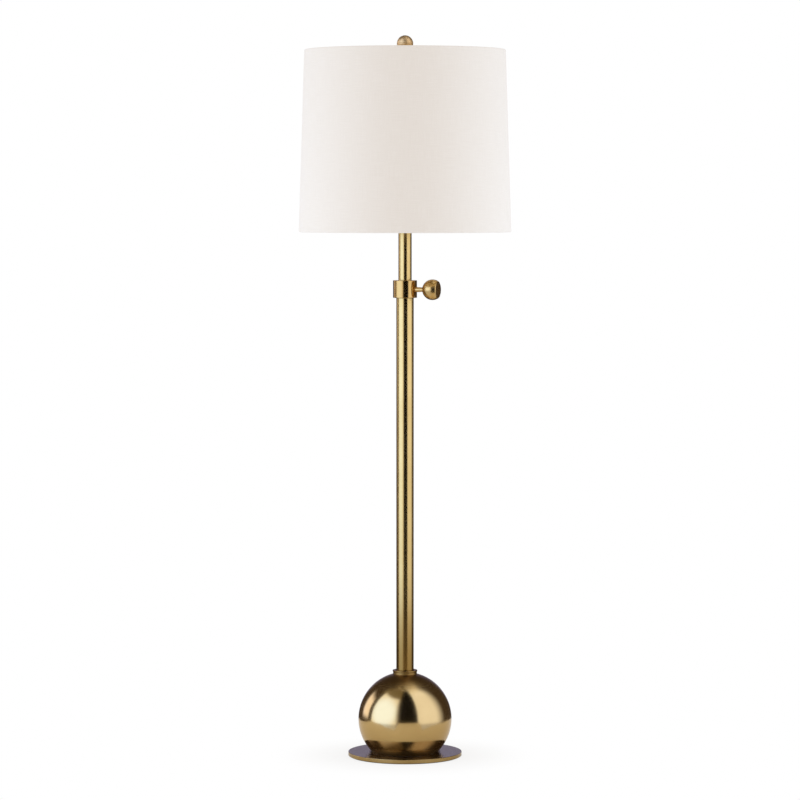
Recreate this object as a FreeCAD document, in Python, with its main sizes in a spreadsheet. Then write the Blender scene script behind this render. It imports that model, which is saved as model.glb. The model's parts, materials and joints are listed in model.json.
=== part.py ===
import FreeCAD, Part
import Sketcher
import math
import os
import re

from FreeCAD import Placement, Rotation, Vector

# A telescopic floor lamp: plate and ball foot, two-tube mast with a thumbscrew clamp, harp and tapered drum shade.
# Millimetres and degrees. Z is up, the floor is at zero and the mast's axis is the Z axis.

# Driving sizes, each written once.
SIZES = {
    # Foot
    "felt_thickness": 1.2,
    "felt_inset": 3.0,
    "plate_diameter": 218.0,
    "plate_thickness": 7.3,
    "plate_edge_round": 0.5,
    "recess_diameter": 36.0,
    "recess_depth": 3.2,
    "washer_diameter": 28.0,
    "washer_thickness": 1.0,
    "nut_across_flats": 15.0,
    "nut_thickness": 3.0,
    "pipe_diameter": 10.0,
    "pipe_bore": 7.0,
    "pipe_port": 5.0,
    "ball_diameter": 179.2,
    "ball_centre_rise": 63.0,
    "ball_wall": 1.2,
    "ball_hole": 14.0,
    "ballast_gap": 3.6,
    "ballast_height": 46.0,
    "ballast_draft": 6.0,
    "ballast_bore": 11.0,
    "grommet_bore": 7.0,
    "grommet_neck": 10.0,
    "grommet_flange": 14.0,
    "grommet_lip": 1.6,
    "grommet_dip": 22.0,
    # Neck between the ball and the lower tube
    "check_ring_diameter": 45.6,
    "check_ring_crown": 0.9,
    "check_ring_groove": 0.8,
    "neck_lip_diameter": 47.4,
    "neck_lip_height": 3.8,
    "neck_lip_round": 0.8,
    "tube_seat_depth": 2.4,
    # Mast
    "tube_wall": 1.2,
    "lower_tube_diameter": 33.4,
    "lower_tube_length": 725.2,
    "coupling_length": 26.0,
    "upper_tube_diameter": 25.4,
    "upper_tube_length": 524.6,
    "mast_travel_up": 280.0,
    "stop_gap": 2.0,
    "stop_ring_width": 3.0,
    "stop_ring_height": 0.9,
    "stop_groove": 0.5,
    "ring_height": 18.0,
    "end_bush_length": 14.0,
    "end_bush_flange": 2.5,
    "end_bush_bore": 14.0,
    "tube_cap_flange": 4.0,
    "tube_cap_diameter": 29.0,
    "tube_cap_plug": 14.0,
    # Guide and clamp at the mouth of the lower tube
    "guide_length": 40.0,
    "guide_flange": 1.3,
    "collar_diameter": 45.8,
    "collar_height": 33.3,
    "collar_socket_depth": 7.0,
    "collar_edge_round": 0.7,
    "clamp_rise": 15.8,
    "clamp_bearing": -21.0,
    "screw_diameter": 10.0,
    "screw_waist": 8.4,
    "screw_root": 7.0,
    "screw_root_length": 14.0,
    "pad_diameter": 8.2,
    "pad_length": 4.0,
    "pad_pin_diameter": 4.0,
    "pad_pin_length": 2.0,
    "knob_diameter": 39.4,
    "knob_reach": 56.0,
    "knob_flat": 11.8,
    "knob_flat_bevel": 1.0,
    # Lampholder, its key and the bulb
    "nipple_length": 30.0,
    "holder_diameter": 33.0,
    "holder_wall": 0.6,
    "holder_cap_height": 20.0,
    "holder_cap_foot": 20.0,
    "holder_shell_height": 44.0,
    "liner_wall": 0.8,
    "holder_waist_height": 6.0,
    "holder_shoulder_height": 12.0,
    "core_height": 20.0,
    "core_rise": 10.0,
    "core_bevel": 6.0,
    "screw_shell_diameter": 27.4,
    "screw_shell_wall": 0.4,
    "screw_shell_height": 27.0,
    "contact_diameter": 8.0,
    "contact_height": 1.6,
    "key_stem_diameter": 4.0,
    "key_stem_length": 9.0,
    "key_diameter": 13.0,
    "key_length": 10.0,
    "key_rise": 9.0,
    "bulb_cap_diameter": 26.2,
    "bulb_cap_height": 24.0,
    "bulb_contact_height": 2.6,
    "bulb_diameter": 60.0,
    "bulb_neck_diameter": 25.0,
    "bulb_neck_length": 8.0,
    "bulb_shoulder": 42.0,
    "bulb_wall": 0.8,
    # Harp
    "saddle_thickness": 1.5,
    "saddle_width": 13.0,
    "saddle_half_span": 28.0,
    "saddle_bend": 3.0,
    "saddle_ear": 7.0,
    "prong_width": 3.0,
    "prong_height": 22.0,
    "harp_height": 267.0,
    "harp_wire": 4.0,
    "harp_bulge": 57.0,
    "harp_bulge_low": 70.0,
    "harp_bulge_high": 125.0,
    "harp_top_half": 17.0,
    "ferrule_bore": 6.6,
    "ferrule_wall": 1.0,
    "ferrule_height": 14.0,
    "stud_diameter": 6.2,
    "stud_head": 10.0,
    "stud_collar": 2.0,
    "stud_length": 14.0,
    # Shade, its frame and the finial
    "shade_bottom_diameter": 406.0,
    "shade_top_diameter": 383.6,
    "shade_height": 347.0,
    "spider_drop": 13.3,
    "fabric_thickness": 0.6,
    "liner_thickness": 0.5,
    "frame_wire": 3.2,
    "hem_depth": 9.0,
    "hem_round": 2.0,
    "spider_washer_diameter": 26.0,
    "spider_washer_thickness": 1.6,
    "spider_flat": 22.0,
    "finial_ball": 31.0,
    "finial_rise": 23.4,
    "finial_foot": 14.0,
    "finial_foot_height": 3.0,
    "finial_neck": 9.0,
    # Clearances
    "seat_gap": 0.1,
    "thread_gap": 0.08,
    "mast_gap": 0.3,
}

# Places and inner sizes worked out from the driving sizes.
PLACES = {
    "plate_top": "felt_thickness + plate_thickness",
    "recess_top": "felt_thickness + recess_depth",
    "washer_foot": "recess_top - washer_thickness",
    "nut_foot": "washer_foot - nut_thickness",
    "ball_centre": "plate_top + ball_centre_rise",
    "ball_top": "ball_centre + ball_diameter / 2",
    "ball_foot_bore": "2 * sqrt((ball_diameter / 2 - ball_wall)^2 - ball_centre_rise^2)",
    "ballast_diameter": "ball_foot_bore - 2 * ballast_gap",
    "thread_bore": "pipe_diameter + 2 * thread_gap",
    "check_ring_top": "ball_top + check_ring_crown",
    "neck_top": "check_ring_top + neck_lip_height",
    "lower_tube_foot": "neck_top - tube_seat_depth",
    "lower_tube_bore": "lower_tube_diameter - 2 * tube_wall",
    "lower_tube_top": "lower_tube_foot + lower_tube_length",
    "coupling_top": "lower_tube_foot + coupling_length",
    "collar_foot": "lower_tube_top - collar_socket_depth",
    "collar_top": "collar_foot + collar_height",
    "clamp_height": "collar_foot + clamp_rise",
    "guide_foot": "lower_tube_top - guide_length",
    "mast_bore": "upper_tube_diameter + 2 * mast_gap",
    "upper_tube_bore": "upper_tube_diameter - 2 * tube_wall",
    "stop_top": "guide_foot - stop_gap - mast_travel_up",
    "stop_foot": "stop_top - stop_ring_width",
    "ring_top": "stop_foot - mast_gap",
    "ring_foot": "ring_top - ring_height",
    "upper_tube_foot": "ring_foot - mast_gap",
    "upper_tube_top": "upper_tube_foot + upper_tube_length",
    "saddle_foot": "upper_tube_top + tube_cap_flange",
    "holder_foot": "saddle_foot + saddle_thickness",
    "holder_shell_foot": "holder_foot + holder_cap_height",
    "nipple_top": "saddle_foot + nipple_length / 2",
    "core_foot": "holder_foot + core_rise",
    "core_top": "nipple_top + core_height",
    "screw_shell_top": "core_top + screw_shell_height",
    "bulb_cap_foot": "core_top + contact_height + bulb_contact_height",
    "bulb_cap_top": "bulb_cap_foot + bulb_cap_height",
    "bulb_centre": "bulb_cap_top + bulb_neck_length + bulb_shoulder",
    "harp_top": "saddle_foot + harp_height",
    "shade_top": "harp_top + spider_drop",
    "shade_bottom": "shade_top - shade_height",
    "hem_width": "2 * fabric_thickness + liner_thickness + frame_wire + 4 * seat_gap",
    "bottom_fold": "hem_width + shade_slope * hem_round",
    "shade_slope": "(shade_bottom_diameter - shade_top_diameter) / shade_height",
    "ring_inset": "fabric_thickness + liner_thickness + 2 * seat_gap + frame_wire / 2",
    "top_ring_radius": "shade_top_diameter / 2 - ring_inset",
    "bottom_ring_radius": "shade_bottom_diameter / 2 - ring_inset - shade_slope * hem_round",
    "top_ring_height": "shade_top - fabric_thickness - seat_gap - frame_wire / 2",
    "bottom_ring_height": "shade_bottom + fabric_thickness + seat_gap + frame_wire / 2",
    "spider_washer_top": "harp_top + spider_washer_thickness",
    "finial_centre": "spider_washer_top + finial_rise",
}

# Every node, foot first; each is an object of the document and a file of its own.
NODES = """
    base_felt base_plate base_washer base_nut stem_pipe ball_shell ballast_weight cord_grommet
    check_ring neck_lip tube_coupling lower_tube guide_bushing clamp_collar
    clamp_pad clamp_screw clamp_knob slide_ring
    upper_tube stop_ring end_bush tube_cap socket_nipple harp_saddle harp harp_ferrules harp_stud
    socket_cap socket_shell socket_liner socket_core screw_shell centre_contact switch_key
    bulb_cap bulb_contact bulb_glass
    spider_washer spider_arms shade_top_ring shade_bottom_ring shade_liner shade_fabric finial
""".split()
ARM_COUNT = 3

CLAMP_WAY = Vector(
    math.cos(math.radians(SIZES["clamp_bearing"])),
    math.sin(math.radians(SIZES["clamp_bearing"])),
    0,
)

doc = FreeCAD.newDocument("floor_lamp")
sheet = doc.addObject("Spreadsheet::Sheet", "sizes")
for row, (alias, number) in enumerate(SIZES.items(), start=1):
    sheet.set(f"A{row}", alias.replace("_", " "))
    sheet.set(f"B{row}", str(number))
    sheet.setAlias(f"B{row}", alias)
doc.recompute()


def bound(text):
    """The expression with each size's name pointed at the sheet and each place's name at the places."""

    def owner(found):
        name = found.group()
        if name in SIZES:
            return "sizes." + name
        return "places." + name if name in PLACES else name

    return re.sub(r"[a-z_]+", owner, text)


places = doc.addObject("App::VarSet", "places")
for name, text in PLACES.items():
    places.addProperty("App::PropertyFloat", name)
    places.setExpression(name, bound(text))
doc.recompute()


def size(name):
    """The number that a size or a place has now."""
    return sheet.get(name) if name in SIZES else getattr(places, name)


def origin_plane(body, role):
    for feature in body.Origin.OriginFeatures:
        if feature.Role == role:
            return feature
    raise ValueError(role)


def turned(label, *corners):
    """A piece turned on its own Z axis: the corners of its half section, as (diameter, height) expressions."""
    body = doc.addObject("PartDesign::Body", label)
    sketch = body.newObject("Sketcher::SketchObject", label + "_section")
    sketch.AttachmentSupport = (origin_plane(body, "XZ_Plane"), [""])
    sketch.MapMode = "FlatFace"
    count = len(corners)
    for i in range(count):
        here = Vector(10 + i, i * i, 0)
        after = Vector(10 + (i + 1) % count, ((i + 1) % count) ** 2, 0)
        sketch.addGeometry(Part.LineSegment(here, after))
    for i in range(count):
        sketch.addConstraint(Sketcher.Constraint("Coincident", i, 2, (i + 1) % count, 1))
    for i, (diameter, height) in enumerate(corners):
        for way, text in (("DistanceX", f"({diameter}) / 2"), ("DistanceY", height)):
            index = sketch.addConstraint(Sketcher.Constraint(way, -1, 1, i, 1, 1.0))
            sketch.setExpression(f"Constraints[{index}]", bound(text))
    turn = body.newObject("PartDesign::Revolution", label + "_turn")
    turn.Profile = sketch
    turn.ReferenceAxis = (sketch, ["V_Axis"])
    turn.Angle = 360
    doc.recompute()
    return body


def rims(shape, diameter, height=None):
    """Names of the shape's circles of one diameter, at any height or at one."""
    names = []
    for i, edge in enumerate(shape.Edges, start=1):
        if edge.Curve.TypeId != "Part::GeomCircle" or abs(2 * edge.Curve.Radius - diameter) > 0.001:
            continue
        if height is None or abs(edge.Curve.Center.z - height) < 0.001:
            names.append(f"Edge{i}")
    return names


def rounded(body, radius, *circles):
    """Rounds the body's rims, each named by its (diameter, height) or (diameter,)."""
    tip = body.Tip
    names = [name for circle in circles for name in rims(tip.Shape, *circle)]
    fillet = body.newObject("PartDesign::Fillet", body.Name + "_round")
    fillet.Base = (tip, names)
    fillet.setExpression("Radius", bound(radius))
    body.Tip = fillet
    doc.recompute()
    return body


def primitive(kind, name, **expressions):
    """A Part primitive whose properties are bound; z is its height above the floor."""
    item = doc.addObject("Part::" + kind, name)
    for key, text in expressions.items():
        item.setExpression("Placement.Base.z" if key == "z" else key, bound(text))
    return item


def cut(label, base, tool):
    item = doc.addObject("Part::Cut", label)
    item.Base = base
    item.Tool = tool
    return item


def fused(label, *items):
    item = doc.addObject("Part::MultiFuse", label)
    item.Shapes = list(items)
    return item


def aimed(item, way, height=0.0, reach=0.0):
    """Turns an item's own Z axis to a direction, starting out from the mast's axis at a height."""
    item.Placement = Placement(Vector(0, 0, height) + way * reach, Rotation(Vector(0, 0, 1), way))
    return item


def bent_path(points, radii):
    """A wire of straight runs through the points, with a tangent arc of its radius at each inner point."""
    edges = []
    start = points[0]
    for before, corner, after, radius in zip(points, points[1:], points[2:], radii):
        into = (corner - before).normalize()
        away = (after - corner).normalize()
        half_turn = into.getAngle(away) / 2
        setback = radius * math.tan(half_turn)
        first = corner - into * setback
        last = corner + away * setback
        inward = (away - into).normalize()
        middle = corner + inward * (radius / math.cos(half_turn) - radius)
        edges.append(Part.LineSegment(start, first).toShape())
        edges.append(Part.Arc(first, middle, last).toShape())
        start = last
    edges.append(Part.LineSegment(start, points[-1]).toShape())
    return Part.Wire(edges)


def swept(label, path, section):
    """Sweeps a closed section, which stands at the path's start, along the path."""
    spine = doc.addObject("Part::Feature", label + "_path")
    spine.Shape = path
    item = doc.addObject("Part::Sweep", label)
    item.Sections = [section]
    item.Spine = (spine, [])
    item.Solid = True
    return item


def foot():
    """Felt, plate, nut, pipe, ball, weight and cord bush."""
    turned(
        "base_felt",
        ("recess_diameter", "0"),
        ("plate_diameter - 2 * felt_inset", "0"),
        ("plate_diameter - 2 * felt_inset", "felt_thickness"),
        ("recess_diameter", "felt_thickness"),
    )
    plate = turned(
        "base_plate",
        ("recess_diameter", "felt_thickness"),
        ("plate_diameter", "felt_thickness"),
        ("plate_diameter", "plate_top"),
        ("thread_bore", "plate_top"),
        ("thread_bore", "recess_top"),
        ("recess_diameter", "recess_top"),
    )
    rounded(plate, "plate_edge_round", (size("plate_diameter"),))
    turned(
        "base_washer",
        ("thread_bore", "washer_foot"),
        ("washer_diameter", "washer_foot"),
        ("washer_diameter", "recess_top"),
        ("thread_bore", "recess_top"),
    )
    hexagon = primitive(
        "Prism",
        "nut_blank",
        Circumradius="nut_across_flats / sqrt(3)",
        Height="nut_thickness",
        z="nut_foot",
    )
    hexagon.Polygon = 6
    hole = primitive("Cylinder", "nut_hole", Radius="thread_bore / 2", Height="nut_thickness", z="nut_foot")
    cut("base_nut", hexagon, hole)
    pipe = turned(
        "stem_pipe_blank",
        ("pipe_bore", "nut_foot"),
        ("pipe_diameter", "nut_foot"),
        ("pipe_diameter", "coupling_top"),
        ("pipe_bore", "coupling_top"),
    )
    port = primitive("Cylinder", "stem_pipe_port", Radius="pipe_port / 2", Height="pipe_diameter")
    port_height = size("plate_top") + size("ballast_height") + 2 * size("pipe_port")
    aimed(port, Vector(0, 1, 0), port_height)
    cut("stem_pipe", pipe, port)

    outside = primitive("Sphere", "ball_outside", Radius="ball_diameter / 2", z="ball_centre")
    inside = primitive("Sphere", "ball_inside", Radius="ball_diameter / 2 - ball_wall", z="ball_centre")
    for ball, radius in ((outside, "(ball_diameter / 2)"), (inside, "(ball_diameter / 2 - ball_wall)")):
        ball.setExpression("Angle1", bound(f"-asin(ball_centre_rise / {radius})"))
    crown_hole = primitive("Cylinder", "ball_crown_hole", Radius="ball_hole / 2", Height="ball_diameter", z="ball_centre")
    back_down = Vector(
        0,
        math.cos(math.radians(size("grommet_dip"))),
        -math.sin(math.radians(size("grommet_dip"))),
    )
    cord_hole = primitive("Cylinder", "ball_cord_hole", Radius="grommet_neck / 2 + seat_gap", Height="ball_diameter")
    aimed(cord_hole, back_down, size("ball_centre"))
    shell = cut("ball_shell", outside, fused("ball_cuts", inside, crown_hole, cord_hole))
    grommet = turned(
        "grommet_blank",
        ("grommet_bore", "ball_diameter / 2 - ball_wall - grommet_lip"),
        ("grommet_neck", "ball_diameter / 2 - ball_wall - grommet_lip"),
        ("grommet_neck", "ball_diameter / 2 - ball_wall / 2"),
        ("grommet_flange", "ball_diameter / 2 - ball_wall / 2"),
        ("grommet_flange", "ball_diameter / 2 + grommet_lip / 2"),
        ("grommet_neck + grommet_lip", "ball_diameter / 2 + grommet_lip"),
        ("grommet_bore", "ball_diameter / 2 + grommet_lip"),
    )
    aimed(grommet, back_down, size("ball_centre"))
    cut("cord_grommet", grommet, shell)
    turned(
        "ballast_weight",
        ("ballast_bore", "plate_top"),
        ("ballast_diameter - ballast_draft", "plate_top"),
        ("ballast_diameter", "plate_top + ballast_draft"),
        ("ballast_diameter - ballast_draft", "plate_top + ballast_height"),
        ("ballast_bore", "plate_top + ballast_height"),
    )


def neck():
    """Band and lipped ring on the ball's crown, with the plug that joins the pipe to the lower tube."""
    band = turned(
        "check_ring_blank",
        ("thread_bore", "ball_centre"),
        ("check_ring_diameter", "ball_centre"),
        ("check_ring_diameter", "check_ring_top"),
        ("thread_bore", "check_ring_top"),
    )
    crown = primitive("Sphere", "check_ring_seat", Radius="ball_diameter / 2 + seat_gap / 2", z="ball_centre")
    cut("check_ring", band, crown)
    lip = turned(
        "neck_lip",
        ("thread_bore", "check_ring_top"),
        ("check_ring_diameter - 2 * check_ring_groove", "check_ring_top"),
        ("check_ring_diameter - 2 * check_ring_groove", "check_ring_top + check_ring_groove"),
        ("neck_lip_diameter", "check_ring_top + check_ring_groove"),
        ("neck_lip_diameter", "neck_top"),
        ("lower_tube_diameter + 2 * seat_gap", "neck_top"),
        ("lower_tube_diameter + 2 * seat_gap", "lower_tube_foot"),
        ("thread_bore", "lower_tube_foot"),
    )
    rounded(lip, "neck_lip_round", (size("neck_lip_diameter"),))
    turned(
        "tube_coupling",
        ("thread_bore", "lower_tube_foot"),
        ("lower_tube_bore - 2 * seat_gap", "lower_tube_foot"),
        ("lower_tube_bore - 2 * seat_gap", "coupling_top"),
        ("thread_bore", "coupling_top"),
    )


def mast():
    """The two tubes with the stop ring, bush, slide ring and cap of the inner one."""
    turned(
        "lower_tube",
        ("lower_tube_bore", "lower_tube_foot"),
        ("lower_tube_diameter", "lower_tube_foot"),
        ("lower_tube_diameter", "lower_tube_top"),
        ("lower_tube_bore", "lower_tube_top"),
    )
    turned(
        "upper_tube",
        ("upper_tube_bore", "upper_tube_foot"),
        ("upper_tube_diameter", "upper_tube_foot"),
        ("upper_tube_diameter", "stop_foot - seat_gap"),
        ("upper_tube_diameter - 2 * stop_groove", "stop_foot - seat_gap"),
        ("upper_tube_diameter - 2 * stop_groove", "stop_top + seat_gap"),
        ("upper_tube_diameter", "stop_top + seat_gap"),
        ("upper_tube_diameter", "upper_tube_top"),
        ("upper_tube_bore", "upper_tube_top"),
    )
    stop = turned(
        "stop_ring",
        ("upper_tube_diameter - 2 * stop_groove + 2 * seat_gap", "stop_foot"),
        ("upper_tube_diameter + 2 * stop_ring_height", "stop_foot"),
        ("upper_tube_diameter + 2 * stop_ring_height", "stop_top"),
        ("upper_tube_diameter - 2 * stop_groove + 2 * seat_gap", "stop_top"),
    )
    rounded(stop, "stop_ring_height / 3", (size("upper_tube_diameter") + 2 * size("stop_ring_height"),))
    turned(
        "slide_ring",
        ("mast_bore", "ring_foot"),
        ("lower_tube_bore - 2 * mast_gap", "ring_foot"),
        ("lower_tube_bore - 2 * mast_gap", "ring_top"),
        ("mast_bore", "ring_top"),
    )
    turned(
        "end_bush",
        ("end_bush_bore", "upper_tube_foot - end_bush_flange"),
        ("mast_bore + 2 * end_bush_flange / 2", "upper_tube_foot - end_bush_flange"),
        ("mast_bore + 2 * end_bush_flange / 2", "upper_tube_foot"),
        ("upper_tube_bore - 2 * seat_gap", "upper_tube_foot"),
        ("upper_tube_bore - 2 * seat_gap", "upper_tube_foot + end_bush_length"),
        ("end_bush_bore", "upper_tube_foot + end_bush_length"),
    )
    cap = turned(
        "tube_cap",
        ("thread_bore", "upper_tube_top - tube_cap_plug"),
        ("upper_tube_bore - 2 * seat_gap", "upper_tube_top - tube_cap_plug"),
        ("upper_tube_bore - 2 * seat_gap", "upper_tube_top"),
        ("tube_cap_diameter", "upper_tube_top"),
        ("tube_cap_diameter", "saddle_foot"),
        ("thread_bore", "saddle_foot"),
    )
    rounded(cap, "tube_cap_flange / 4", (size("tube_cap_diameter"),))


def clamp():
    """Guide sleeve, collar and the thumbscrew with its pad, on a bearing to the front right."""
    turned(
        "guide_bushing",
        ("mast_bore", "guide_foot"),
        ("lower_tube_bore - 2 * seat_gap", "guide_foot"),
        ("lower_tube_bore - 2 * seat_gap", "lower_tube_top"),
        ("lower_tube_diameter", "lower_tube_top"),
        ("lower_tube_diameter", "lower_tube_top + guide_flange"),
        ("mast_bore", "lower_tube_top + guide_flange"),
    )
    collar = turned(
        "collar_blank",
        ("lower_tube_diameter + 2 * seat_gap", "collar_foot"),
        ("collar_diameter", "collar_foot"),
        ("collar_diameter", "collar_top"),
        ("mast_bore", "collar_top"),
        ("mast_bore", "lower_tube_top + guide_flange"),
        ("lower_tube_diameter + 2 * seat_gap", "lower_tube_top + guide_flange"),
    )
    rounded(collar, "collar_edge_round", (size("collar_diameter"),))
    hole = primitive(
        "Cylinder",
        "collar_screw_hole",
        Radius="screw_diameter / 2 + thread_gap",
        Height="collar_diameter",
    )
    aimed(hole, CLAMP_WAY, size("clamp_height"))
    cut("clamp_collar", collar, hole)

    pad_far = "mast_bore / 2 + pad_length"
    pad = turned(
        "clamp_pad",
        ("0", "mast_bore / 2"),
        ("pad_diameter", "mast_bore / 2"),
        ("pad_diameter", pad_far),
        ("pad_pin_diameter + 2 * thread_gap", pad_far),
        ("pad_pin_diameter + 2 * thread_gap", f"{pad_far} - pad_pin_length - thread_gap"),
        ("0", f"{pad_far} - pad_pin_length - thread_gap"),
    )
    aimed(pad, CLAMP_WAY, size("clamp_height"))

    knob_foot = "knob_reach - knob_diameter / 2"
    screw = turned(
        "clamp_screw",
        ("0", f"{pad_far} - pad_pin_length"),
        ("pad_pin_diameter", f"{pad_far} - pad_pin_length"),
        ("pad_pin_diameter", f"{pad_far} + thread_gap"),
        ("screw_diameter", f"{pad_far} + thread_gap"),
        ("screw_diameter", "collar_diameter / 2 + thread_gap"),
        ("screw_waist", f"{knob_foot} + seat_gap"),
        ("screw_root", f"{knob_foot} + seat_gap"),
        ("screw_root", f"{knob_foot} + screw_root_length"),
        ("0", f"{knob_foot} + screw_root_length"),
    )
    aimed(screw, CLAMP_WAY, size("clamp_height"))
    ball = primitive("Sphere", "knob_ball", Radius="knob_diameter / 2")
    ball.setExpression("Angle2", bound("asin(knob_flat / (knob_diameter / 2))"))
    root = turned(
        "knob_socket",
        ("0", "-knob_diameter"),
        ("screw_waist + 2 * seat_gap", "-knob_diameter"),
        ("screw_waist + 2 * seat_gap", "-knob_diameter / 2 + 2 * seat_gap"),
        ("screw_root + 2 * thread_gap", "-knob_diameter / 2 + 2 * seat_gap"),
        ("screw_root + 2 * thread_gap", "-knob_diameter / 2 + screw_root_length + thread_gap"),
        ("0", "-knob_diameter / 2 + screw_root_length + thread_gap"),
    )
    blank = cut("knob_blank", ball, root)
    aimed(blank, CLAMP_WAY, size("clamp_height"), size("knob_reach"))
    doc.recompute()
    flat_diameter = 2 * math.sqrt((size("knob_diameter") / 2) ** 2 - size("knob_flat") ** 2)
    knob = doc.addObject("Part::Chamfer", "clamp_knob")
    knob.Base = blank
    bevel = size("knob_flat_bevel")
    knob.Edges = [(int(name[4:]), bevel, bevel) for name in rims(blank.Shape, flat_diameter)]


def lampholder():
    """Nipple, saddle, holder with its key, and the bulb."""
    turned(
        "socket_nipple",
        ("pipe_bore", "saddle_foot - nipple_length / 2"),
        ("pipe_diameter", "saddle_foot - nipple_length / 2"),
        ("pipe_diameter", "nipple_top"),
        ("pipe_bore", "nipple_top"),
    )
    inner = "holder_diameter - 2 * holder_wall"
    turned(
        "socket_cap",
        ("thread_bore", "holder_foot"),
        ("holder_cap_foot", "holder_foot"),
        ("holder_cap_foot + 3 * holder_wall", "holder_foot + holder_waist_height"),
        ("holder_diameter", "holder_foot + holder_shoulder_height"),
        ("holder_diameter", "holder_shell_foot"),
        (inner, "holder_shell_foot"),
        (inner, "holder_foot + holder_shoulder_height"),
        ("holder_cap_foot + holder_wall", "holder_foot + holder_waist_height"),
        ("holder_cap_foot - 2 * holder_wall", "holder_foot + holder_wall"),
        ("thread_bore", "holder_foot + holder_wall"),
    )
    shell = turned(
        "socket_shell_blank",
        (inner, "holder_shell_foot"),
        ("holder_diameter", "holder_shell_foot"),
        ("holder_diameter", "holder_shell_foot + holder_shell_height"),
        (inner, "holder_shell_foot + holder_shell_height"),
    )
    liner = turned(
        "socket_liner_blank",
        (f"{inner} - 2 * seat_gap - 2 * liner_wall", "holder_shell_foot"),
        (f"{inner} - 2 * seat_gap", "holder_shell_foot"),
        (f"{inner} - 2 * seat_gap", "holder_shell_foot + holder_shell_height"),
        (f"{inner} - 2 * seat_gap - 2 * liner_wall", "holder_shell_foot + holder_shell_height"),
    )
    front = Vector(0, -1, 0)
    key_height = size("holder_shell_foot") + size("key_rise")
    for label, blank in (("socket_shell", shell), ("socket_liner", liner)):
        slot = primitive(
            "Cylinder",
            label + "_key_hole",
            Radius="key_stem_diameter / 2 + mast_gap",
            Height="holder_diameter",
        )
        cut(label, blank, aimed(slot, front, key_height))
    core = turned(
        "socket_core_blank",
        ("thread_bore", "core_foot"),
        ("screw_shell_diameter", "core_foot + core_bevel"),
        ("screw_shell_diameter", "core_top"),
        ("0", "core_top"),
        ("0", "nipple_top + seat_gap"),
        ("thread_bore", "nipple_top + seat_gap"),
    )
    stem_hole = primitive(
        "Cylinder",
        "core_key_hole",
        Radius="key_stem_diameter / 2 + thread_gap",
        Height="holder_diameter",
    )
    aimed(stem_hole, front, key_height, size("screw_shell_diameter") / 2 - size("key_stem_length") / 2)
    cut("socket_core", core, stem_hole)
    stem_foot = "screw_shell_diameter / 2 - key_stem_length / 2 + seat_gap"
    key = turned(
        "switch_key",
        ("0", stem_foot),
        ("key_stem_diameter", stem_foot),
        ("key_stem_diameter", "holder_diameter / 2 + key_stem_diameter / 2"),
        ("key_diameter / 2", "holder_diameter / 2 + key_stem_diameter / 2"),
        ("key_diameter", "holder_diameter / 2 + key_stem_diameter"),
        ("key_diameter", "holder_diameter / 2 + key_stem_diameter / 2 + key_length"),
        ("0", "holder_diameter / 2 + key_stem_diameter / 2 + key_length"),
    )
    rounded(key, "holder_wall", (size("key_diameter"),))
    aimed(key, front, key_height)
    turned(
        "screw_shell",
        ("screw_shell_diameter - 2 * screw_shell_wall", "core_top"),
        ("screw_shell_diameter", "core_top"),
        ("screw_shell_diameter", "screw_shell_top"),
        ("screw_shell_diameter - 2 * screw_shell_wall", "screw_shell_top"),
    )
    turned(
        "centre_contact",
        ("0", "core_top"),
        ("contact_diameter", "core_top"),
        ("contact_diameter", "core_top + contact_height / 2"),
        ("contact_diameter / 2", "core_top + contact_height"),
        ("0", "core_top + contact_height"),
    )
    turned(
        "bulb_contact",
        ("0", "core_top + contact_height"),
        ("contact_diameter", "core_top + contact_height"),
        ("bulb_cap_diameter / 2", "bulb_cap_foot"),
        ("0", "bulb_cap_foot"),
    )
    turned(
        "bulb_cap",
        ("0", "bulb_cap_foot"),
        ("bulb_cap_diameter / 2", "bulb_cap_foot"),
        ("bulb_cap_diameter", "bulb_cap_foot + bulb_cap_height / 6"),
        ("bulb_cap_diameter", "bulb_cap_top"),
        ("0", "bulb_cap_top"),
    )
    glass = doc.addObject("Part::Feature", "bulb_glass")
    glass.Shape = bulb_shape()


def bulb_shape():
    """A pear bulb: a sphere that runs into its neck by a hollow arc tangent to both."""
    ball = size("bulb_diameter") / 2
    throat = size("bulb_neck_diameter") / 2
    wall = size("bulb_wall")
    centre = size("bulb_centre")
    waist = centre - size("bulb_shoulder")
    foot = size("bulb_cap_top")
    hollow = (size("bulb_shoulder") ** 2 + throat**2 - ball**2) / (2 * (ball - throat))
    steep = math.atan2(size("bulb_shoulder"), throat + hollow)

    def side(inset):
        """Half section of the wall, inset from the outside: foot, waist, shoulder and crown, with arc midpoints."""
        arc_centre = Vector(throat + hollow, 0, waist)
        arc = hollow + inset
        crown = ball - inset
        turn = Vector(-math.cos(steep / 2), 0, math.sin(steep / 2))
        out = Vector(-math.cos(steep), 0, math.sin(steep))
        shoulder = arc_centre + out * arc
        swing = (steep + math.pi / 2) / 2 - steep
        belly = Vector(math.cos(swing), 0, math.sin(swing)) * crown + Vector(0, 0, centre)
        top = Vector(0, 0, centre + crown)
        low = Vector(throat - inset, 0, foot)
        neck_end = Vector(throat - inset, 0, waist)
        return low, neck_end, arc_centre + turn * arc, shoulder, belly, top

    outer = side(0.0)
    inner = side(wall)
    edges = []
    for low, neck_end, bend, shoulder, belly, top in (outer, inner):
        edges.append(Part.LineSegment(low, neck_end).toShape())
        edges.append(Part.Arc(neck_end, bend, shoulder).toShape())
        edges.append(Part.Arc(shoulder, belly, top).toShape())
    edges.append(Part.LineSegment(outer[0], inner[0]).toShape())
    edges.append(Part.LineSegment(outer[-1], inner[-1]).toShape())
    section = Part.Face(Part.Wire(Part.__sortEdges__(edges)))
    return section.revolve(Vector(0, 0, 0), Vector(0, 0, 1), 360)


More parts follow.
